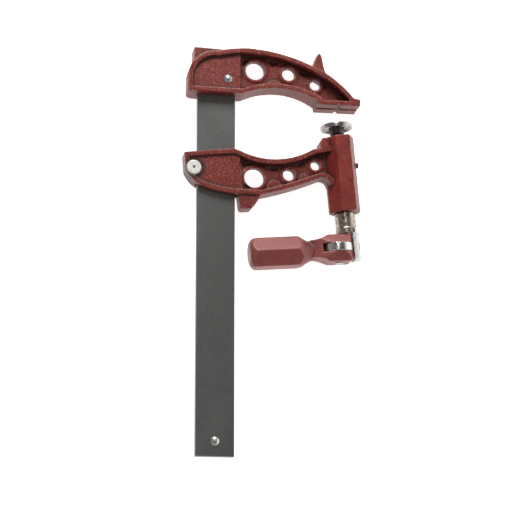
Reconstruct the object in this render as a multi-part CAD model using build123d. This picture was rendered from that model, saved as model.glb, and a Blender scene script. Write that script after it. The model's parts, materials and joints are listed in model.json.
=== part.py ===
from build123d import *
import os
from math import cos, radians, sin

# An F clamp lying on its side: a flat steel rail, a fixed jaw riveted to its end, a sliding jaw that
# grips the rail with a roller and a lug, and a screw with a swivel pad and a folding handle.
# Lengths are in millimetres. X runs along the jaws, Y along the rail towards the fixed jaw, and Z up.
# The jaws are drawn on the rail's own centre line, with Z = 0 in the clamp's middle plane.

# Rail
RAIL_W = 40.0
RAIL_T = 8.0
RAIL_L = 429.0
STOP_Y = 15.5
RIVET_SHANK = 6.0

# Castings: the rim's width, and half thicknesses of the web, its pockets and the bosses round its holes
RIM = 5.0
WEB = 3.6
POCKET = 2.4
BOSS = 4.6
BOSS_WALL = 3.2
MOUND = 6.2
FIT = 0.05
GAP = 0.3

# Fixed jaw: half depths of its flange and of the cheeks beside the rail, then its outline
FIXED_HALF = 16.0
FIXED_CHEEK = 11.5
FIXED_WAIST = 13.0
JAW_BACK = -31.6
SOCKET_FRONT = 24.5
FACE_Y = 376.0
FACE_START = 107.5
NOSE_X = 153.2
NOTCH_X = 131.5
FIXED_HOLES = [(41.4, 413.2, 20.2), (77.7, 411.0, 13.9), (106.4, 400.4, 11.4)]
FIXED_RIVET = (11.3, 400.2)

# Sliding jaw, drawn square to the rail and then tipped up by TILT about the roller
SLIDE_HALF = 11.0
SLIDE_CHEEK = 8.6
TILT = 5.0
ROLLER = (-24.4, 301.7)
ROLLER_D = 15.6
ROLLER_GROOVE = 8.2
ROLLER_HALF = 12.0
SLIDE_BACK = -33.2
SLOT_BACK = -22.6
SLOT_FRONT = 22.4
LUG_DEPTH = 18.0
SLIDE_HOLES = [(39.8, 289.4, 21.2), (76.8, 290.9, 12.2), (106.4, 299.9, 10.1)]

# Screw tube, spindle and brake screw
AXIS_X = 134.0
TUBE_TOP = 329.5
TUBE_BOTTOM = 247.2
TUBE_W = 33.0
TUBE_D = 34.0
TUBE_FLAT_IN = 5.5
TUBE_FLAT_OUT = 9.5
TUBE_SIDE = 6.0
THREAD_D = 22.0
BRAKE_Y = 299.0

# Swivel pad on the spindle's ball
BALL_Y = 338.8
BALL_D = 10.0
NECK_D = 6.6
RING_OUT = 12.2
RING_T = 0.8
RING_IN = 9.6
PAD_FACE = 344.0
PAD_D = 34.2
PAD_RIM = 4.6
PAD_WEB = 2.6
CUP_D = 16.5
CUP_MOUTH = 333.8

# Spindle head and folding handle
SHOULDER_Y = 230.0
SHOULDER_D = 22.8
HEAD_END = 196.0
SPINE_IN = 140.0
SPINE_FRONT_IN = 138.1
SPINE_FRONT_Z = 10.6
SPINE_OUT = 146.8
PIN_X = 123.0
PIN_D = 8.0
EYE_MID = 209.0
EYE_T = 8.6
EYE_R = 16.8
TINE_R = 16.4
TINE_TOP = 223.8
TINE_BOTTOM = 194.0
GRIP_CORNER = 18.0
GRIP_Y = 207.8
GRIP_END = 27.6
GRIP_START = 84.0


def slab(face, half):
    """The face thickened equally to both sides of the middle plane."""
    return extrude(face, half, both=True)


def box_between(low, high):
    size = [b - a for a, b in zip(low, high)]
    middle = [(a + b) / 2 for a, b in zip(low, high)]
    return Pos(*middle) * Box(*size)


def disc_z(x, y, diameter, half):
    return Pos(x, y, 0) * Cylinder(diameter / 2, 2 * half)


def shaft_y(x, y0, y1, diameter):
    """A cylinder along Y from y0 to y1."""
    return Pos(x, (y0 + y1) / 2, 0) * Rot(90, 0, 0) * Cylinder(diameter / 2, y1 - y0)


def revolved_y(x, points):
    """Radius and height pairs turned about the line through x along Y."""
    profile = make_face(Polyline(*[(x + r, y) for r, y in points], close=True).edges())
    return revolve(profile, Axis((x, 0, 0), (0, 1, 0)))


def rivet(x, y, half, head):
    """A shank through the middle plane with a domed head on each side."""
    shank = disc_z(x, y, RIVET_SHANK, half + 0.5)
    dome_r = head * 0.62
    drop = (dome_r**2 - (head / 2) ** 2) ** 0.5
    dome = Pos(x, y, half - drop) * Sphere(dome_r)
    keep = Pos(x, y, half + head / 2) * Box(2 * head, 2 * head, head)
    top = dome & keep
    return shank + top + mirror(top, Plane.XY)


def web_pocket(corners, depth):
    """A three-cornered recess with rounded corners, on both sides of the web."""
    recess = fillet(make_face(Polyline(*corners, close=True).edges()).vertices(), 1.6)
    side = Pos(0, 0, depth) * extrude(recess, RIM)
    return side + mirror(side, Plane.XY)


def i_section(outline, holes, cheek_edge, flange, cheek):
    """A casting with a rim, a web with bossed holes, and thicker cheeks behind cheek_edge."""
    body = slab(outline, flange)
    inner = offset(outline, -RIM)
    bounds = inner.bounding_box()
    cheeks = box_between((bounds.min.X - 1, bounds.min.Y - 1, -1), (cheek_edge, bounds.max.Y + 1, 1))
    arm = box_between((cheek_edge, bounds.min.Y - 1, -1), (bounds.max.X + 1, bounds.max.Y + 1, 1))
    for part_of, half in ((cheeks, cheek), (arm, WEB)):
        area = inner & section(part_of, Plane.XY)
        pocket = Pos(0, 0, half) * extrude(area, flange)
        body = body - pocket - mirror(pocket, Plane.XY)
    boss_area = slab(outline, BOSS)
    for x, y, diameter in holes:
        body = body + (disc_z(x, y, diameter + 2 * BOSS_WALL, BOSS) & boss_area)
    for x, y, diameter in holes:
        body = body - disc_z(x, y, diameter, flange)
    return body


def seen_from_end(half_outline):
    """A block as long as the jaws whose plan in X and Z is the outline and its mirror image."""
    half = make_face(half_outline)
    return Pos(0, 200, 0) * extrude(Plane.XZ * (half + mirror(half, Plane.XZ)), -300)


def fixed_outline():
    back = Line((JAW_BACK, 384.5), (JAW_BACK, 402))
    crown = ThreePointArc((JAW_BACK, 402), (-23.4, 420.5), (0, 429.6))
    top = ThreePointArc((0, 429.6), (45, 434), (97, 420.6))
    slope = ThreePointArc((97, 420.6), (123, 406.3), (146.3, 384.4))
    nose = Polyline((146.3, 384.4), (NOSE_X, 383.3), (NOSE_X, FACE_Y), (FACE_START, FACE_Y), (107, 380.6))
    throat = ThreePointArc((107, 380.6), (67, 392.4), (29, 384.6))
    foot = Polyline((29, 384.6), (26, 384), (JAW_BACK, 384.5))
    return make_face([*back.edges(), *crown.edges(), *top.edges(), *slope.edges(), *nose.edges(),
                      *throat.edges(), *foot.edges()])


def horn():
    """The pointed hook lug on the back of the fixed jaw."""
    profile = Polyline((97, 416), (103.8, 421.8), (107.4, 432.4), (110.2, 435.2), (112.6, 432.4),
                       (115.4, 417), (121, 404), close=True)
    return slab(make_face(profile.edges()), 10)


def v_groove(x, y, z, length, direction):
    """A vee bar, used to cut the grooves in the clamping face."""
    bar = Rot(45, 0, 0) * Box(length, 3.4, 3.4)
    turned = bar if direction == "x" else Rot(0, 90, 0) * bar
    return Pos(x, y, z) * turned


def fixed_jaw():
    body = i_section(fixed_outline(), FIXED_HOLES, SOCKET_FRONT, FIXED_HALF, FIXED_CHEEK)
    waist = ThreePointArc((28, FIXED_HALF), (70, FIXED_WAIST), (FACE_START, FIXED_HALF))
    ends = Polyline((FACE_START, FIXED_HALF), (160, FIXED_HALF), (160, 0), (JAW_BACK, 0),
                    (JAW_BACK, 5))
    bullnose = ThreePointArc((JAW_BACK, 5), (JAW_BACK + 2.4, 12.6), (JAW_BACK + 8, FIXED_HALF))
    side = Line((JAW_BACK + 8, FIXED_HALF), (28, FIXED_HALF))
    body = body & seen_from_end([*waist.edges(), *ends.edges(), *bullnose.edges(), *side.edges()])
    corner = slab(make_face(Polyline((-25, 405), (-25, 434), (16, 432.4), (16, 405),
                                     close=True).edges()), FIXED_CHEEK)
    mound = slab(make_face(Ellipse(9, 10).moved(Pos(62, 393, 0)).edges()), MOUND)
    for corners in (((53, 427), (70, 424.5), (60, 418)), ((87, 419), (103, 411.5), (92, 409.5)),
                    ((28, 426), (37, 427), (27.5, 415))):
        body = body - web_pocket(corners, POCKET)
    body = body + corner + horn() + (mound & slab(fixed_outline(), MOUND))
    socket = box_between((-RAIL_W / 2 - FIT, 370, -RAIL_T / 2 - FIT),
                         (RAIL_W / 2 + FIT, 440, RAIL_T / 2 + FIT))
    body = body - socket
    x, y = FIXED_RIVET
    body = body - disc_z(x, y, RIVET_SHANK + 2 * FIT, 2 * FIXED_HALF)
    body = body - v_groove((FACE_START + NOSE_X) / 2, FACE_Y, 0, NOSE_X - FACE_START + 8, "x")
    return body - v_groove(NOTCH_X, FACE_Y, 0, 2 * FIXED_HALF + 4, "z")


def sliding_outline():
    top = Polyline((SLIDE_BACK, 318.8), (0, 320.1), (20, 320.3), (27, 317.4))
    saddle = ThreePointArc((27, 317.4), (63, 306.9), (104, 316.2))
    end = Polyline((104, 316.2), (AXIS_X, 319.6), (AXIS_X, 276.6), (118.6, 276.6))
    corner = ThreePointArc((118.6, 276.6), (115.6, 283.4), (109, 284.9))
    belly = ThreePointArc((109, 284.9), (78, 275.8), (44, 269.2))
    bottom = Line((44, 269.2), (20, 271.6))
    sole = ThreePointArc((20, 271.6), (-2, 275.8), (-20, 283.2))
    heel = ThreePointArc((-20, 283.2), (-28.2, 291.2), (SLIDE_BACK, 301))
    back = Line((SLIDE_BACK, 301), (SLIDE_BACK, 318.8))
    return make_face([*top.edges(), *saddle.edges(), *end.edges(), *corner.edges(), *belly.edges(),
                      *bottom.edges(), *sole.edges(), *heel.edges(), *back.edges()])


def tube_section():
    """The eight-sided section of the screw tube, with X and Z as width and depth."""
    corners = [(TUBE_FLAT_OUT, TUBE_D / 2), (TUBE_W / 2, TUBE_SIDE / 2),
               (-TUBE_W / 2, TUBE_SIDE / 2), (-TUBE_FLAT_IN, TUBE_D / 2)]
    upper = corners[:2] + [(x, -z) for x, z in reversed(corners[:2])]
    lower = [(x, -z) for x, z in reversed(corners[2:])] + corners[2:]
    return make_face(Polyline(*upper, *lower, close=True).edges())


def screw_tube():
    blank = extrude(Plane.XZ * tube_section(), -(TUBE_TOP - TUBE_BOTTOM))
    return Pos(AXIS_X, TUBE_BOTTOM, 0) * blank


def sliding_jaw():
    body = i_section(sliding_outline(), SLIDE_HOLES, SOCKET_FRONT + 1, SLIDE_HALF, SLIDE_CHEEK)
    for corners in (((29, 310.5), (39, 304.5), (28.5, 300)), ((52, 300.5), (70, 300.5), (61, 295)),
                    ((84, 301.5), (97, 307), (92, 299.5)), ((28.5, 284.5), (36.5, 277), (28.5, 277))):
        body = body - web_pocket(corners, POCKET)
    for x, y, width in ((60, 272.6, 9.5), (93, 281.6, 7)):
        mound = slab(make_face(Ellipse(width, 1.35 * width).moved(Pos(x, y, 0)).edges()), MOUND)
        body = body + (mound & slab(sliding_outline(), MOUND))
    slot = box_between((SLOT_BACK, 260, -RAIL_T / 2 - GAP), (SLOT_FRONT, 330, RAIL_T / 2 + GAP))
    body = body - slot - disc_z(*ROLLER, ROLLER_D + 0.2, 2 * SLIDE_HALF)
    face = RAIL_W / 2 + GAP
    lug = Polyline((face + 0.8, 257), (23.5, 255.2), (32.5, 255.2), (40.5, 263), (45, 271), (23.5, 276),
                   (face, 274), close=True)
    body = body + slab(make_face(lug.edges()), LUG_DEPTH / 2)
    cheek_clear = box_between((0, 250, -RAIL_T / 2 - GAP), (face, 275, RAIL_T / 2 + GAP))
    shoulder = slab(make_face(Polyline((112.6, 314), (112.6, 324), (115.6, 328.2), (122, 328.2), (122, 314),
                                       close=True).edges()), 11)
    body = body - cheek_clear + screw_tube()
    body = body + shoulder
    body = body - shaft_y(AXIS_X, TUBE_BOTTOM - 1, TUBE_TOP + 1, THREAD_D + 2 * FIT)
    return body - brake_bore(6.0 + 2 * FIT)


def brake_bore(diameter):
    reach = TUBE_W / 2 + 4
    return Pos(AXIS_X + THREAD_D / 2 + reach / 2 - 1, BRAKE_Y, 0) * Rot(0, 90, 0) * Cylinder(
        diameter / 2, reach)


def brake_plug():
    start = AXIS_X + THREAD_D / 2 + FIT
    bar = Pos(start + 1.25, BRAKE_Y, 0) * Rot(0, 90, 0) * Cylinder(2.9, 2.5)
    return bar - shaft_y(AXIS_X, BRAKE_Y - 5, BRAKE_Y + 5, THREAD_D + 2 * FIT)


def brake_screw():
    start = AXIS_X + THREAD_D / 2 + FIT + 2.55
    end = AXIS_X + TUBE_W / 2 + 2.8
    bar = Pos((start + end) / 2, BRAKE_Y, 0) * Rot(0, 90, 0) * Cylinder(3.0, end - start)
    recess = Pos(end, BRAKE_Y, 0) * Rot(0, 90, 0) * extrude(RegularPolygon(1.7, 6), 2.4, both=True)
    return bar - recess


def jaw_roller():
    disc = ROLLER_D / 2
    groove = ROLLER_GROOVE / 2
    inner = RAIL_T / 2 + 0.4
    half = [(groove, inner), (disc, inner), (disc, ROLLER_HALF - 0.8), (disc - 0.8, ROLLER_HALF),
            (0, ROLLER_HALF)]
    profile = [(r, -z) for r, z in reversed(half)] + half
    face = make_face(Polyline(*[(r, 0, z) for r, z in profile], close=True).edges())
    body = revolve(face, Axis.Z)
    for side in (1, -1):
        body = body - Pos(0, 0, side * (ROLLER_HALF + 0.4)) * Sphere(1.7)
    return Pos(*ROLLER, 0) * body


def spine():
    """The strip that runs past the handle's fork and carries the eye, round on its outer side."""
    half = make_face(Polyline((SPINE_IN, 0), (SPINE_FRONT_IN, SPINE_FRONT_Z), (SPINE_OUT, SPINE_FRONT_Z),
                              (SPINE_OUT, 0), close=True).edges())
    length = SHOULDER_Y - 0.5 - HEAD_END
    bar = Pos(0, HEAD_END, 0) * extrude(Plane.XZ * (half + mirror(half, Plane.XZ)), -length)
    return bar & shaft_y(AXIS_X, HEAD_END, SHOULDER_Y, 2 * (SPINE_OUT - AXIS_X))


def spindle():
    thread = [(0, SHOULDER_Y), (THREAD_D / 2, SHOULDER_Y), (THREAD_D / 2, 326.5), (7.2, 329.5),
              (7.2, 331.8), (NECK_D / 2, 333.0), (NECK_D / 2, BALL_Y), (0, BALL_Y)]
    body = revolved_y(AXIS_X, thread) + Pos(AXIS_X, BALL_Y, 0) * Sphere(BALL_D / 2)
    shoulder_low = TINE_TOP + GAP
    body = body + shaft_y(AXIS_X, shoulder_low, SHOULDER_Y, SHOULDER_D)
    eye_low = EYE_MID - EYE_T / 2
    eye_high = EYE_MID + EYE_T / 2
    eye = shaft_y(PIN_X, eye_low, eye_high, 2 * EYE_R)
    bridge = box_between((PIN_X + PIN_D, eye_low, -8), (SPINE_OUT - 1.5, eye_high, 8))
    eye = eye + bridge - shaft_y(PIN_X, eye_low - 1, eye_high + 1, PIN_D + 2 * FIT)
    return body + spine() + eye


def handle_pin():
    low = TINE_BOTTOM
    profile = [(0, low - 2.0), (3.2, low - 1.7), (5.0, low - 0.3), (PIN_D / 2, low - 0.3),
               (PIN_D / 2, TINE_TOP - 0.4), (3.4, TINE_TOP), (0, TINE_TOP)]
    return revolved_y(PIN_X, profile)


def grip_blank():
    """The grip's rounded nose and the taper into the neck, turned about the handle's axis."""
    corner = GRIP_CORNER + 0.1
    start = Line((GRIP_END, 0), (GRIP_END, 10))
    nose = ThreePointArc((GRIP_END, 10), (GRIP_END + 2.5, 15), (GRIP_END + 8.5, corner))
    side = Line((GRIP_END + 8.5, corner), (GRIP_START - 6, corner))
    taper = Spline((GRIP_START - 6, corner), (GRIP_START + 1, 14.2), (GRIP_START + 11, 9.8),
                   (GRIP_START + 22, 9.8), tangents=[(1, -0.35), (1, 0)])
    end = Polyline((GRIP_START + 22, 9.8), (GRIP_START + 22, 0), (GRIP_END, 0))
    profile = make_face([*start.edges(), *nose.edges(), *side.edges(), *taper.edges(), *end.edges()])
    return Pos(0, GRIP_Y, 0) * revolve(profile, Axis.X)


def six_sided_bar():
    """The hexagon bar that the whole handle is forged from, with one corner up."""
    corners = [(GRIP_Y + GRIP_CORNER * sin(radians(60 * i)), GRIP_CORNER * cos(radians(60 * i)))
               for i in range(6)]
    hexagon = make_face(Polyline(*corners, close=True).edges())
    return Pos(GRIP_END, 0, 0) * extrude(Plane.YZ * hexagon, PIN_X + 20 - GRIP_END)


def fork():
    plan = make_hull([*CenterArc((PIN_X, 0), TINE_R, 0, 360).edges(),
                      *CenterArc((98, 0), 9.4, 0, 360).edges()])
    block = Pos(0, TINE_BOTTOM, 0) * extrude(Plane.XZ * plan, -(TINE_TOP - TINE_BOTTOM))
    middle = (TINE_TOP + TINE_BOTTOM) / 2
    tall = (TINE_TOP - TINE_BOTTOM) / 2
    upper = Spline((92, middle + 9.6), (100, middle + 10.2), (108, middle + 12.8),
                   (114, middle + tall), tangents=[(1, 0), (1, 0)])
    top = Polyline((114, middle + tall), (134.5, middle + tall), (141, middle + 5), (141, middle),
                   (92, middle), (92, middle + 9.6))
    half = make_face([*upper.edges(), *top.edges()])
    flare = half + mirror(half, Plane.XZ.offset(-middle))
    body = block & slab(flare, 20)
    slot_half = EYE_T / 2 + GAP
    slot = box_between((PIN_X - EYE_R - 1.4, EYE_MID - slot_half, -20),
                       (PIN_X + 20, EYE_MID + slot_half, 20))
    return body - slot - shaft_y(PIN_X, TINE_BOTTOM - 1, TINE_TOP + 1, PIN_D + 2 * FIT)


def handle():
    bar = six_sided_bar()
    return (grip_blank() & bar) + (fork() & bar)


def swivel_pad():
    """A dished plate with a turned-down rim, and a cup that closes round the spindle's ball."""
    rim = PAD_D / 2
    under = PAD_FACE - PAD_WEB
    outer = [(0, PAD_FACE), (rim - 0.8, PAD_FACE), (rim, PAD_FACE - 0.8), (rim, PAD_FACE - PAD_RIM),
             (rim - 1.8, PAD_FACE - PAD_RIM), (rim - 3.4, under), (CUP_D / 2 + 0.8, under),
             (CUP_D / 2, under - 1), (CUP_D / 2 - 0.7, CUP_MOUTH), (0, CUP_MOUTH)]
    body = revolved_y(AXIS_X, outer)
    socket = Pos(AXIS_X, BALL_Y, 0) * Sphere(BALL_D / 2 + GAP)
    mouth = shaft_y(AXIS_X, CUP_MOUTH - 1, BALL_Y, BALL_D + 2 * GAP)
    groove = shaft_y(AXIS_X, CUP_MOUTH + 0.5, CUP_MOUTH + 3.1, RING_OUT + 1.8)
    return body - socket - mouth - groove


def pad_retaining_ring():
    y = CUP_MOUTH + 1.8 - RING_T / 2
    ring = shaft_y(AXIS_X, y, y + RING_T, RING_OUT) - shaft_y(AXIS_X, y - 1, y + 2, RING_IN)
    return ring - box_between((AXIS_X - 20, y - 1, -1.2), (AXIS_X, y + 2, 1.2))


def rail():
    body = box_between((-RAIL_W / 2, 0, -RAIL_T / 2), (RAIL_W / 2, RAIL_L, RAIL_T / 2))
    body = chamfer(body.edges().filter_by(Axis.Y), 0.6)
    x, y = FIXED_RIVET
    for hole_x, hole_y in ((0, STOP_Y), (x, y)):
        body = body - disc_z(hole_x, hole_y, RIVET_SHANK + 2 * FIT, RAIL_T)
    return body


def tipped(shape):
    """The sliding jaw's group, tipped up about the roller."""
    about = Pos(*ROLLER, 0)
    return about * Rot(0, 0, TILT) * about.inverse() * shape


def build():
    square = {"sliding_jaw": sliding_jaw(), "brake_plug": brake_plug(), "brake_screw": brake_screw(),
              "spindle": spindle(), "handle_pin": handle_pin(), "handle": handle(),
              "swivel_pad": swivel_pad(), "pad_retaining_ring": pad_retaining_ring()}
    parts = {name: tipped(shape) for name, shape in square.items()}
    parts["rail"] = rail()
    parts["rail_stop_rivet"] = rivet(0, STOP_Y, RAIL_T / 2, 10.0)
    parts["fixed_jaw"] = fixed_jaw()
    parts["fixed_jaw_rivet"] = rivet(*FIXED_RIVET, FIXED_CHEEK, 10.0)
    parts["jaw_roller"] = jaw_roller()
    return parts


# The origin is on the ground below the middle of the clamp's outline
parts = build()
box = Compound(children=[Compound(shape.wrapped) for shape in parts.values()]).bounding_box()
ORIGIN_X = round((box.min.X + box.max.X) / 2, 1)
ORIGIN_Y = round((box.min.Y + box.max.Y) / 2, 1)
LIFT = round(-box.min.Z, 2)
os.makedirs("parts", exist_ok=True)
for name, shape in parts.items():
    export_step(Pos(-ORIGIN_X, -ORIGIN_Y, LIFT) * shape, f"parts/{name}.step")
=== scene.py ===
import bpy
import json
import numpy as np
from math import cos, pi, radians, sin
from mathutils import Matrix, Vector


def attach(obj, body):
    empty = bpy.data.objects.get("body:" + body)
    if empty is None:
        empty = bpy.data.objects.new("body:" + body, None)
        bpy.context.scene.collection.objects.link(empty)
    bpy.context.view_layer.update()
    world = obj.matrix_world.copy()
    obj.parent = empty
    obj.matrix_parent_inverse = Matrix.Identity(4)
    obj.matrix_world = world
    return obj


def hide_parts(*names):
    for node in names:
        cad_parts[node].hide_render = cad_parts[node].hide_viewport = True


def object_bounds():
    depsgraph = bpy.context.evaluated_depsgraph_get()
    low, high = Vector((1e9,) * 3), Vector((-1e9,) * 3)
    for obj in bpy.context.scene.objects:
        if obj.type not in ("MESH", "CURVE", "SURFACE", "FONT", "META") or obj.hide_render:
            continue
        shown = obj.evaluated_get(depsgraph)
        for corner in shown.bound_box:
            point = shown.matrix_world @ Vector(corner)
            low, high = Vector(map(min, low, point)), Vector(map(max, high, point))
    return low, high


# The F clamp's looks: cast and enamelled jaws, a plated screw and a dark drawn-steel rail.
# Lengths are in metres, in the frame of the CAD model, where the clamp lies on its side.

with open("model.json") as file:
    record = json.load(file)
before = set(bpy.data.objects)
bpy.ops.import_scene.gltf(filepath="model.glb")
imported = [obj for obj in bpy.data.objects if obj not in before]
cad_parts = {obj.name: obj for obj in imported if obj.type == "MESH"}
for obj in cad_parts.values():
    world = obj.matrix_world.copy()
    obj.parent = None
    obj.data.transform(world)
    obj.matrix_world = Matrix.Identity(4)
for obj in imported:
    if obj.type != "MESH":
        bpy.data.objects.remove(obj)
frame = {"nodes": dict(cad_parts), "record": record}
cad_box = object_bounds()
NODES = frame["nodes"]
JOINTS = {joint["name"]: joint for joint in frame["record"]["behaviour"]["joints"]}
MM = 0.001

# The thread's pitch, depth and radius, its span along the axis from the joint's place, the length
# over which it fades at both ends, and the height where the plain shank under it starts
PITCH = 5 * MM
THREAD_DEPTH = 0.7 * MM
THREAD_R = 11 * MM
THREAD_SPAN = (-54 * MM, 26 * MM)
THREAD_FADE = 2 * MM
SHANK_LOW = -75.8 * MM
# The thread's profile over one turn: how steeply its flanks rise, and how much of that rise the flat
# root takes away
FLANK_SLOPE = 5.0
ROOT_LOSS = 0.7
# How far out from the axis the flat spine under the shank starts
SPINE_X = 3.9 * MM
# The middle of the handle's neck, from the pin, and where the painted shade round it starts to thin and
# ends
NECK_FROM_PIN = (-33 * MM, 3 * MM, 0)
NECK_SHADE_SPAN = (6 * MM, 14 * MM)
# Where the painted shade ring round the roller starts to thin, and where it ends
SHADE_RING_SPAN = (11 * MM, 14.5 * MM)
# The screw tube's outer radius, and its span along the axis
TUBE_R = 18 * MM
TUBE_SPAN = (-56 * MM, 31 * MM)
# The swivel pad's cup: its radius and the height where it meets the plate
CUP_R = 9.2 * MM
CUP_TOP = 41 * MM
# The castings' waves: their lengths and height, and their share along each axis
WAVE_LENGTHS = (23 * MM, 31 * MM, 17 * MM)
WAVE_HEIGHT = 0.04 * MM
WAVE_SHARE = (0.3, 0.3, 1.0)
# Smoothing rounds behind the two measures of how far a point is sunk, each on top of the one before
RELIEF_ROUNDS = {"sunk": 24, "basin": 90}
# The floor's side
FLOOR_SIDE = 8
# The camera's bearing, how far it stands below and to the left of the clamp's face, and its distance,
# its lens and sensor in millimetres, and its aim from the middle of the clamp's box
BELOW = radians(13.4)
LEFT = radians(9.5)
DISTANCE = 2.136
FOCAL = 143.9
SENSOR = 36
AIM = (-17.3 * MM, -6.2 * MM, 0)


# ---------------------------------------------------------------- node materials

def set_range(node, low, high, to_low, to_high):
    """Fills in a Map Range node."""
    for key, number in zip(("From Min", "From Max", "To Min", "To Max"), (low, high, to_low, to_high)):
        node.inputs[key].default_value = number


class Shader:
    """A Principled material and short calls for the nodes that feed it."""

    def __init__(self, name, color, metallic, roughness):
        self.material = bpy.data.materials.new(name)
        self.material.use_nodes = True
        self.tree = self.material.node_tree
        self.bsdf = self.tree.nodes["Principled BSDF"]
        self.bsdf.inputs["Metallic"].default_value = metallic
        self.bsdf.inputs["Roughness"].default_value = roughness
        self.bsdf.inputs["Base Color"].default_value = (*color, 1)
        self.place = self.add("ShaderNodeTexCoord").outputs["Object"]

    def add(self, kind, **settings):
        node = self.tree.nodes.new(kind)
        for key, value in settings.items():
            setattr(node, key, value)
        return node

    def link(self, source, target):
        self.tree.links.new(source, target)

    def stretched(self, scale, turn=0.0):
        """The object's coordinates, turned about Z and scaled by three factors."""
        mapping = self.add("ShaderNodeMapping")
        mapping.inputs["Rotation"].default_value = (0, 0, turn)
        mapping.inputs["Scale"].default_value = scale
        self.link(self.place, mapping.inputs["Vector"])
        return mapping.outputs["Vector"]

    def noise(self, size, detail=3.0, rough=0.55, place=None):
        """Fractal noise whose features are about size metres across."""
        node = self.add("ShaderNodeTexNoise")
        node.inputs["Scale"].default_value = 1 / size
        node.inputs["Detail"].default_value = detail
        node.inputs["Roughness"].default_value = rough
        self.link(place or self.place, node.inputs["Vector"])
        return node.outputs["Fac"]

    def remap(self, value, low, high, to_low=0.0, to_high=1.0):
        node = self.add("ShaderNodeMapRange")
        set_range(node, low, high, to_low, to_high)
        self.link(value, node.inputs["Value"])
        return node.outputs["Result"]

    def times(self, a, b):
        node = self.add("ShaderNodeMath", operation="MULTIPLY")
        self.link(a, node.inputs[0])
        self.link(b, node.inputs[1])
        return node.outputs["Value"]

    def mix(self, factor, a, b):
        """Colour a where factor is 0 and b where it is 1. Each is a colour or a node's output."""
        node = self.add("ShaderNodeMix", data_type="RGBA")
        self.link(factor, node.inputs["Factor"])
        for key, value in (("A", a), ("B", b)):
            socket = [s for s in node.inputs if s.name == key and s.type == "RGBA"][0]
            if isinstance(value, tuple):
                socket.default_value = (*value, 1)
            else:
                self.link(value, socket)
        return [s for s in node.outputs if s.type == "RGBA"][0]

    def relief(self, height, depth, strength=1.0, below=None):
        """A bump of the given depth in metres, on top of another bump."""
        node = self.add("ShaderNodeBump")
        node.inputs["Strength"].default_value = strength
        node.inputs["Distance"].default_value = depth
        self.link(height, node.inputs["Height"])
        if below:
            self.link(below, node.inputs["Normal"])
        return node.outputs["Normal"]

    def shape(self, name="sunk"):
        """How far each point is sunk (positive) or stands out (negative), in mm. The measure sunk looks
        at narrow grooves and edges, and basin at wide corners."""
        return self.add("ShaderNodeAttribute", attribute_name=name).outputs["Fac"]

    def distance(self, point):
        """The distance from a line through the point along Z."""
        away = self.add("ShaderNodeVectorMath", operation="SUBTRACT")
        away.inputs[1].default_value = point
        self.link(self.place, away.inputs[0])
        flat = self.add("ShaderNodeVectorMath", operation="MULTIPLY")
        flat.inputs[1].default_value = (1, 1, 0)
        self.link(away.outputs["Vector"], flat.inputs[0])
        length = self.add("ShaderNodeVectorMath", operation="LENGTH")
        self.link(flat.outputs["Vector"], length.inputs[0])
        return length.outputs["Value"]

    def color(self, socket):
        self.link(socket, self.bsdf.inputs["Base Color"])

    def roughness(self, socket):
        self.link(socket, self.bsdf.inputs["Roughness"])

    def normal(self, socket):
        self.link(socket, self.bsdf.inputs["Normal"])


def cast_enamel(name, speckle, shade_ring_at=None):
    """Maroon enamel over a sand-cast skin: pebbled and pitted, with painted glints on the pebbles' tops,
    painted shade in the corners and grooves and a painted highlight along the edges. A painted shade
    ring, the roller's shadow, darkens it round the point given."""
    s = Shader(name, (0.16, 0.018, 0.016), 0.0, 0.4)
    s.bsdf.inputs["Specular Tint"].default_value = (1, 0.93, 0.82, 1)
    s.bsdf.inputs["Specular IOR Level"].default_value = 0.36
    s.bsdf.inputs["Coat Weight"].default_value = 0.08
    s.bsdf.inputs["Coat Roughness"].default_value = 0.3
    pebble = s.noise(1.7 * MM, 4.0, 0.75)
    grain = s.noise(1.3 * MM, 2.0, 0.5)
    cloud = s.noise(16 * MM, 3.0, 0.6)
    sunk = s.shape()
    body = s.mix(s.remap(cloud, 0.35, 0.65), (0.156, 0.0125, 0.0100), (0.222, 0.0190, 0.0150))
    # Painted glints: lighter dots on the pebbles' tops
    glinted = s.mix(s.remap(pebble, 0.54, 0.68, 0.0, speckle), body, (0.42, 0.155, 0.12))
    pit = s.mix(s.remap(grain, 0.48, 0.36, 0.0, speckle), glinted, (0.040, 0.004, 0.004))
    # Painted shade: a dark ring round the roller, where the roller's shadow falls on the cheek
    if shade_ring_at:
        near = s.remap(s.distance(shade_ring_at), *SHADE_RING_SPAN, 0.95, 0.0)
        ring = s.times(near, s.remap(cloud, 0.3, 0.5, 0.8, 1.0))
        pit = s.mix(ring, pit, (0.028, 0.006, 0.004))
    # Painted shade: darker in wide corners and in narrow grooves
    basin = s.mix(s.remap(s.shape("basin"), 0.12, 0.7, 0.0, 0.82), pit, (0.045, 0.005, 0.004))
    groove = s.mix(s.remap(sunk, 0.03, 0.45), basin, (0.028, 0.004, 0.004))
    # Painted highlight: lighter on the edges that stand out, broken up by the pebbles
    edge_highlight = s.times(s.remap(sunk, -0.2, -0.5), s.remap(pebble, 0.47, 0.6))
    s.color(s.mix(edge_highlight, groove, (0.45, 0.19, 0.145)))
    s.roughness(s.remap(grain, 0.3, 0.7, 0.3, 0.5))
    s.normal(s.relief(grain, 0.2 * MM, 0.8, s.relief(pebble, 0.5 * MM, 0.8)))
    return s.material


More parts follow.
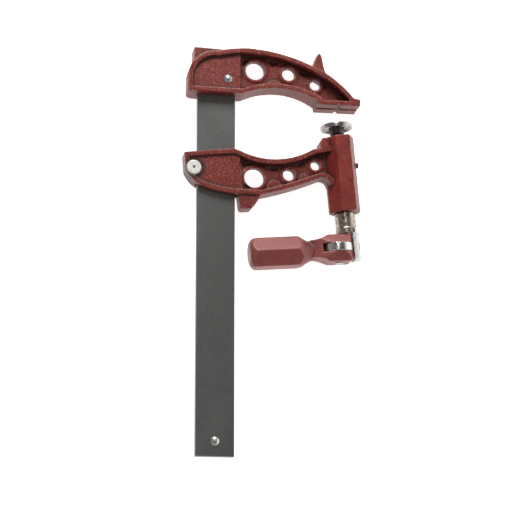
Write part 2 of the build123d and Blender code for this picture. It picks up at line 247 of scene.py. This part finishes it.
def handle_enamel():
    """Satin maroon enamel on the forged handle, smoother than the jaws'."""
    s = Shader("handle_enamel", (0.2, 0.04, 0.036), 0.0, 0.4)
    s.bsdf.inputs["Specular IOR Level"].default_value = 0.5
    s.bsdf.inputs["Coat Weight"].default_value = 0.22
    s.bsdf.inputs["Coat Roughness"].default_value = 0.38
    grain = s.noise(0.9 * MM, 3.0, 0.55)
    cloud = s.noise(14 * MM, 3.0, 0.6)
    sunk = s.shape()
    body = s.mix(s.remap(cloud, 0.35, 0.65), (0.21, 0.032, 0.026), (0.275, 0.047, 0.038))
    # Painted glints: lighter dots on the grain's tops
    glinted = s.mix(s.remap(grain, 0.58, 0.75), body, (0.34, 0.12, 0.105))
    # Painted shade round the handle's neck, darkest at its middle
    middle_of_neck = Vector(JOINTS["handle_swing"]["pos_m"]) + Vector(NECK_FROM_PIN)
    neck_shaded = s.mix(s.remap(s.distance(middle_of_neck), *NECK_SHADE_SPAN, 0.65, 0.0), glinted, (0.095, 0.011, 0.010))
    # Painted shade in the grooves, and below it a painted highlight on the edges that stand out
    groove = s.mix(s.remap(sunk, 0.05, 0.5), neck_shaded, (0.075, 0.014, 0.013))
    s.color(s.mix(s.remap(sunk, -0.12, -0.5), groove, (0.36, 0.13, 0.115)))
    s.roughness(s.remap(grain, 0.3, 0.7, 0.36, 0.48))
    s.normal(s.relief(grain, 0.08 * MM, 0.6))
    return s.material


def drawn_steel():
    """The rail: dark, satin, with fine lengthways drawing lines and faint handling marks."""
    s = Shader("drawn_steel", (0.1, 0.1, 0.097), 0.55, 0.42)
    lines = s.noise(0.35 * MM, 3.0, 0.6, s.stretched((1, 0.06, 1)))
    mottle = s.noise(2 * MM, 4.0, 0.7)
    cloud = s.noise(45 * MM, 3.0, 0.5, s.stretched((1, 0.4, 1)))
    body = s.mix(s.remap(lines, 0.3, 0.7), (0.093, 0.093, 0.090), (0.125, 0.125, 0.120))
    worn = s.mix(s.remap(cloud, 0.45, 0.7, 0.0, 0.5), body, (0.182, 0.181, 0.175))
    s.color(s.mix(s.remap(mottle, 0.52, 0.7, 0.0, 0.8), worn, (0.07, 0.07, 0.068)))
    s.roughness(s.remap(mottle, 0.3, 0.7, 0.36, 0.5))
    s.normal(s.relief(lines, 0.03 * MM, 0.5, s.relief(mottle, 0.05 * MM, 0.3)))
    return s.material


def zinc_plate(name, tone):
    """Zinc plate of some brightness, with turning marks across it and painted shade in its grooves."""
    s = Shader(name, (tone, tone, tone), 1.0, 0.22)
    tilt = Vector(JOINTS["spindle_feed"]["axis"])
    turning = s.noise(0.4 * MM, 2.0, 0.5, s.stretched((0.05, 1, 0.05), -Vector((0, 1, 0)).angle(tilt)))
    cloud = s.noise(5 * MM, 4.0, 0.6)
    sunk = s.shape()
    bright = (tone, 0.99 * tone, 0.975 * tone)
    dull = (0.78 * tone, 0.76 * tone, 0.73 * tone)
    body = s.mix(s.remap(cloud, 0.35, 0.7), bright, dull)
    # Painted shade: darker in the grooves
    s.color(s.mix(s.remap(sunk, 0.03, 0.35), body, (0.10, 0.085, 0.07)))
    s.roughness(s.remap(cloud, 0.3, 0.7, 0.16, 0.34))
    s.normal(s.relief(turning, 0.03 * MM, 0.35))
    return s.material


def matte_zinc():
    """Duller zinc on the roller's ends and the spindle's spine, with painted shade in the grooves."""
    s = Shader("matte_zinc", (0.72, 0.715, 0.7), 0.45, 0.5)
    cloud = s.noise(3 * MM, 4.0, 0.65)
    grain = s.noise(0.5 * MM, 2.0, 0.5)
    sunk = s.shape()
    body = s.mix(s.remap(cloud, 0.35, 0.7), (0.75, 0.74, 0.72), (0.53, 0.515, 0.49))
    # Painted shade: darker in the grooves
    s.color(s.mix(s.remap(sunk, 0.05, 0.3), body, (0.035, 0.03, 0.027)))
    s.roughness(s.remap(cloud, 0.3, 0.7, 0.42, 0.6))
    s.normal(s.relief(grain, 0.05 * MM, 0.5))
    return s.material


def oiled_steel():
    """Brownish oiled steel, for the thread."""
    s = Shader("oiled_steel", (0.4, 0.35, 0.31), 1.0, 0.34)
    cloud = s.noise(2.5 * MM, 4.0, 0.65)
    sunk = s.shape()
    body = s.mix(s.remap(cloud, 0.4, 0.62), (0.20, 0.155, 0.125), (0.60, 0.53, 0.475))
    # Painted shade: darker in the thread's roots
    s.color(s.mix(s.remap(sunk, 0.01, 0.16), body, (0.06, 0.045, 0.036)))
    s.roughness(s.remap(cloud, 0.3, 0.7, 0.42, 0.24))
    s.normal(s.relief(cloud, 0.08 * MM, 0.4))
    return s.material


def peened_steel():
    """Plain rivet steel with hammer dimples on its heads."""
    s = Shader("peened_steel", (0.5, 0.49, 0.47), 1.0, 0.3)
    dimple = s.noise(1.6 * MM, 2.0, 0.5)
    cloud = s.noise(4 * MM, 3.0, 0.6)
    s.color(s.mix(s.remap(cloud, 0.35, 0.7), (0.60, 0.59, 0.57), (0.36, 0.345, 0.33)))
    s.roughness(s.remap(cloud, 0.3, 0.7, 0.24, 0.42))
    s.normal(s.relief(dimple, 0.2 * MM, 0.5))
    return s.material


def black_oxide():
    """Black-oxide steel, slightly brown where it is rubbed."""
    s = Shader("black_oxide", (0.06, 0.058, 0.055), 0.8, 0.38)
    cloud = s.noise(1.2 * MM, 4.0, 0.6)
    s.color(s.mix(s.remap(cloud, 0.4, 0.7), (0.05, 0.048, 0.046), (0.15, 0.125, 0.10)))
    s.roughness(s.remap(cloud, 0.3, 0.7, 0.3, 0.5))
    s.normal(s.relief(cloud, 0.04 * MM, 0.4))
    return s.material


def nylon():
    """Natural nylon, milky and a little soiled."""
    s = Shader("nylon", (0.8, 0.78, 0.7), 0.0, 0.45)
    cloud = s.noise(0.8 * MM, 3.0, 0.6)
    s.color(s.mix(s.remap(cloud, 0.4, 0.7), (0.82, 0.80, 0.73), (0.60, 0.57, 0.49)))
    s.normal(s.relief(cloud, 0.04 * MM, 0.3))
    return s.material


# ---------------------------------------------------------------- pieces made from the CAD nodes

def neighbour_mean(points, edges, rounds):
    """The points after some rounds of moving halfway to the mean of their neighbours."""
    count = len(points)
    ends = np.concatenate([edges[:, 0], edges[:, 1]])
    others = np.concatenate([edges[:, 1], edges[:, 0]])
    degree = np.maximum(np.bincount(ends, minlength=count), 1)[:, None]
    for _ in range(rounds):
        total = np.stack([np.bincount(ends, points[others, k], count) for k in range(3)], axis=1)
        points = 0.5 * points + 0.5 * total / degree
    return points


def vectors(items, field):
    flat = np.zeros(3 * len(items))
    items.foreach_get(field, flat)
    return flat.reshape(-1, 3)


def mark_relief(mesh):
    """Stores at each point how far it is sunk below its near and its wider surroundings, in mm."""
    points = vectors(mesh.vertices, "co")
    edges = np.zeros(2 * len(mesh.edges), int)
    mesh.edges.foreach_get("vertices", edges)
    smooth = points
    for name, rounds in RELIEF_ROUNDS.items():
        smooth = neighbour_mean(smooth, edges.reshape(-1, 2), rounds)
        depth = np.einsum("ij,ij->i", smooth - points, vectors(mesh.vertex_normals, "vector"))
        mesh.attributes.new(name, "FLOAT", "POINT").data.foreach_set("value", depth / MM)


def reskin(node, name, voxel, rounds, material, shaping=None):
    """A finely meshed copy of a CAD node with its corners rounded, which then stands for the node."""
    piece = bpy.data.objects.new(name, NODES[node].data.copy())
    bpy.context.scene.collection.objects.link(piece)
    skin = piece.modifiers.new("skin", "REMESH")
    skin.mode = "VOXEL"
    skin.voxel_size = voxel
    soften = piece.modifiers.new("soften", "SMOOTH")
    soften.factor = 0.5
    soften.iterations = rounds
    graph = bpy.context.evaluated_depsgraph_get()
    mesh = bpy.data.meshes.new_from_object(piece.evaluated_get(graph))
    piece.modifiers.clear()
    piece.data = mesh
    if shaping:
        points = shaping(vectors(mesh.vertices, "co"))
        mesh.vertices.foreach_set("co", points.ravel())
        mesh.update()
    mark_relief(mesh)
    mesh.materials.clear()
    mesh.materials.append(material)
    mesh.shade_smooth()
    body = next(b for b, names in frame["record"]["behaviour"]["bodies"].items() if node in names)
    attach(piece, body)
    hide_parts(node)
    return piece


def lumpy(points):
    """The slight waviness of a sand casting: a few long waves, under a fifth of a millimetre."""
    waves = np.zeros(len(points))
    for step, length in enumerate(WAVE_LENGTHS):
        turn = 2 * pi / length
        waves += np.sin(turn * points[:, step % 3] + turn * 0.7 * points[:, (step + 1) % 3] + step)
    side = np.sign(points - points.mean(axis=0)) * np.array(WAVE_SHARE)
    return points + side * (waves * WAVE_HEIGHT)[:, None]


def threaded(points):
    """Cuts the trapezoidal thread into the spindle's long plain cylinder."""
    joint = JOINTS["spindle_turn"]
    axis = np.array(joint["axis"])
    centre = np.array(joint["pos_m"])
    across = np.array([0.0, 0.0, 1.0])
    side = np.cross(axis, across)
    offset = points - centre
    along = offset @ axis
    radial = offset - along[:, None] * axis
    radius = np.linalg.norm(radial, axis=1)
    angle = np.arctan2(radial @ across, radial @ side)
    phase = (along / PITCH - angle / (2 * pi)) % 1.0
    flank = np.clip((0.5 - np.abs(phase - 0.5)) * FLANK_SLOPE - ROOT_LOSS, 0, 1)
    depth = THREAD_DEPTH * (1 - flank)
    low, high = THREAD_SPAN
    ends = np.clip(np.minimum(along - low, high - along) / THREAD_FADE, 0, 1)
    on_thread = (radius > THREAD_R - 0.6 * MM) & (radius < THREAD_R + 0.4 * MM)
    cut = np.where(on_thread, depth * ends, 0)
    return points - radial / np.maximum(radius, MM)[:, None] * cut[:, None]


def second_material(piece, material, chosen):
    """Gives material to the faces chosen by their centres' radius, height and outward distance on the
    spindle's axis."""
    joint = JOINTS["spindle_turn"]
    axis = np.array(joint["axis"])
    offset = vectors(piece.data.polygons, "center") - np.array(joint["pos_m"])
    along = offset @ axis
    radius = np.linalg.norm(offset - along[:, None] * axis, axis=1)
    outward = offset @ np.cross(axis, (0, 0, 1))
    index = np.zeros(len(offset), np.int32)
    piece.data.polygons.foreach_get("material_index", index)
    index[chosen(radius, along, outward)] = len(piece.data.materials)
    piece.data.materials.append(material)
    piece.data.polygons.foreach_set("material_index", index)


def dress_cad(node, material):
    data = NODES[node].data
    data.materials.clear()
    data.materials.append(material)


def build_pieces():
    enamel = cast_enamel("cast_enamel", 0.92)
    zinc = zinc_plate("zinc_plate", 0.8)
    dull_zinc = zinc_plate("dull_zinc_plate", 0.44)
    peened = peened_steel()
    oxide = black_oxide()
    # The sliding jaw's enamel carries a painted shade ring round the roller
    ring_shaded = cast_enamel("ring_shaded_enamel", 0.92, JOINTS["jaw_tilt"]["pos_m"])
    reskin("fixed_jaw", "fixed_jaw_casting", 0.6 * MM, 7, enamel, lumpy)
    slider = reskin("sliding_jaw", "sliding_jaw_casting", 0.6 * MM, 7, ring_shaded, lumpy)
    low, high = TUBE_SPAN
    smooth = cast_enamel("tube_enamel", 0.35)
    second_material(slider, smooth, lambda r, t, x: (r < TUBE_R) & (t > low) & (t < high))
    reskin("handle", "handle_forging", 0.6 * MM, 8, handle_enamel())
    oiled = oiled_steel()
    screw = reskin("spindle", "spindle_turned", 0.4 * MM, 2, zinc, threaded)
    second_material(screw, oiled, lambda r, t, x: (t > SHANK_LOW) & (r < THREAD_R + 0.5 * MM))
    matte = matte_zinc()
    second_material(screw, matte, lambda r, t, x: (t < SHANK_LOW) & (x > SPINE_X))
    pad = reskin("swivel_pad", "swivel_pad_plate", 0.35 * MM, 3, dull_zinc)
    second_material(pad, oxide, lambda r, t, x: (r < CUP_R) & (t < CUP_TOP))
    reskin("jaw_roller", "jaw_roller_turned", 0.35 * MM, 3, matte)
    for node, voxel in (("handle_pin", 0.3), ("rail_stop_rivet", 0.25), ("fixed_jaw_rivet", 0.25)):
        reskin(node, node + "_peened", voxel * MM, 4, peened)
    dress_cad("rail", drawn_steel())
    dress_cad("brake_screw", oxide)
    dress_cad("pad_retaining_ring", oxide)
    dress_cad("brake_plug", nylon())


# ---------------------------------------------------------------- floor, lights and camera

def floor():
    """A pale board under the clamp."""
    x, y, _ = middle()
    bpy.ops.mesh.primitive_plane_add(size=FLOOR_SIDE, location=(x, y, cad_box[0][2]))
    board = bpy.context.object
    board.name = "floor"
    s = Shader("pale_floor", (0.62, 0.62, 0.62), 0.0, 0.7)
    s.bsdf.inputs["Emission Color"].default_value = (1, 1, 1, 1)
    s.bsdf.inputs["Emission Strength"].default_value = 0.9
    s.color(s.mix(s.noise(0.3, 2.0), (0.61, 0.61, 0.61), (0.64, 0.64, 0.635)))
    board.data.materials.append(s.material)


def area_light(name, direction, distance, size, power):
    """A rectangular soft light that looks at the middle of the clamp."""
    light = bpy.data.lights.new(name, "AREA")
    light.shape = "RECTANGLE"
    light.energy = power
    light.size, light.size_y = size
    lamp = bpy.data.objects.new(name, light)
    bpy.context.scene.collection.objects.link(lamp)
    toward = Vector(direction).normalized()
    lamp.location = middle() + toward * distance
    lamp.rotation_euler = toward.to_track_quat("Z", "Y").to_euler()


def middle():
    low, high = cad_box
    return (Vector(low) + Vector(high)) / 2


def lights():
    """A white studio, darker straight above and to the left and brighter far to the right, with a key
    light from beyond the fixed jaw."""
    world = bpy.data.worlds.new("studio")
    bpy.context.scene.world = world
    world.use_nodes = True
    tree = world.node_tree
    background = tree.nodes["Background"]
    background.inputs["Color"].default_value = (1, 1, 1, 1)
    place = tree.nodes.new("ShaderNodeTexCoord")
    split = tree.nodes.new("ShaderNodeSeparateXYZ")
    tree.links.new(place.outputs["Generated"], split.inputs["Vector"])

    def fade(axis, *span):
        node = tree.nodes.new("ShaderNodeMapRange")
        set_range(node, *span)
        tree.links.new(split.outputs[axis], node.inputs["Value"])
        return node.outputs["Result"]

    def combine(operation, a, b):
        node = tree.nodes.new("ShaderNodeMath")
        node.operation = operation
        tree.links.new(a, node.inputs[0])
        tree.links.new(b, node.inputs[1])
        return node.outputs["Value"]

    studio = combine("MULTIPLY", fade("Z", 0.2, 0.85, 1.0, 0.07), fade("X", -0.9, -0.1, 0.35, 1.0))
    strength = combine("MAXIMUM", studio, fade("X", 0.6, 0.8, 0.0, 1.6))
    tree.links.new(strength, background.inputs["Strength"])
    area_light("key", (-0.1, 0.8, 0.6), 1.3, (0.5, 0.5), 14.4)
    area_light("fill", (-0.6, -0.3, 0.75), 1.8, (1.0, 1.0), 1.2)
    area_light("strip", (-0.12, 0.22, 0.96), 1.5, (0.1, 0.7), 1.3)


def camera():
    right = Vector((cos(LEFT), 0, sin(LEFT)))
    up = Vector((-sin(LEFT) * sin(BELOW), cos(BELOW), cos(LEFT) * sin(BELOW)))
    back = right.cross(up)
    data = bpy.data.cameras.new("camera")
    data.lens = FOCAL
    data.sensor_width = SENSOR
    viewer = bpy.data.objects.new("camera", data)
    bpy.context.scene.collection.objects.link(viewer)
    aim = middle() + Vector(AIM)
    turn = Matrix((right, up, back)).transposed().to_4x4()
    viewer.matrix_world = Matrix.Translation(aim + back * DISTANCE) @ turn
    bpy.context.scene.camera = viewer


build_pieces()
floor()
lights()
camera()
bpy.context.scene.view_settings.view_transform = "Standard"
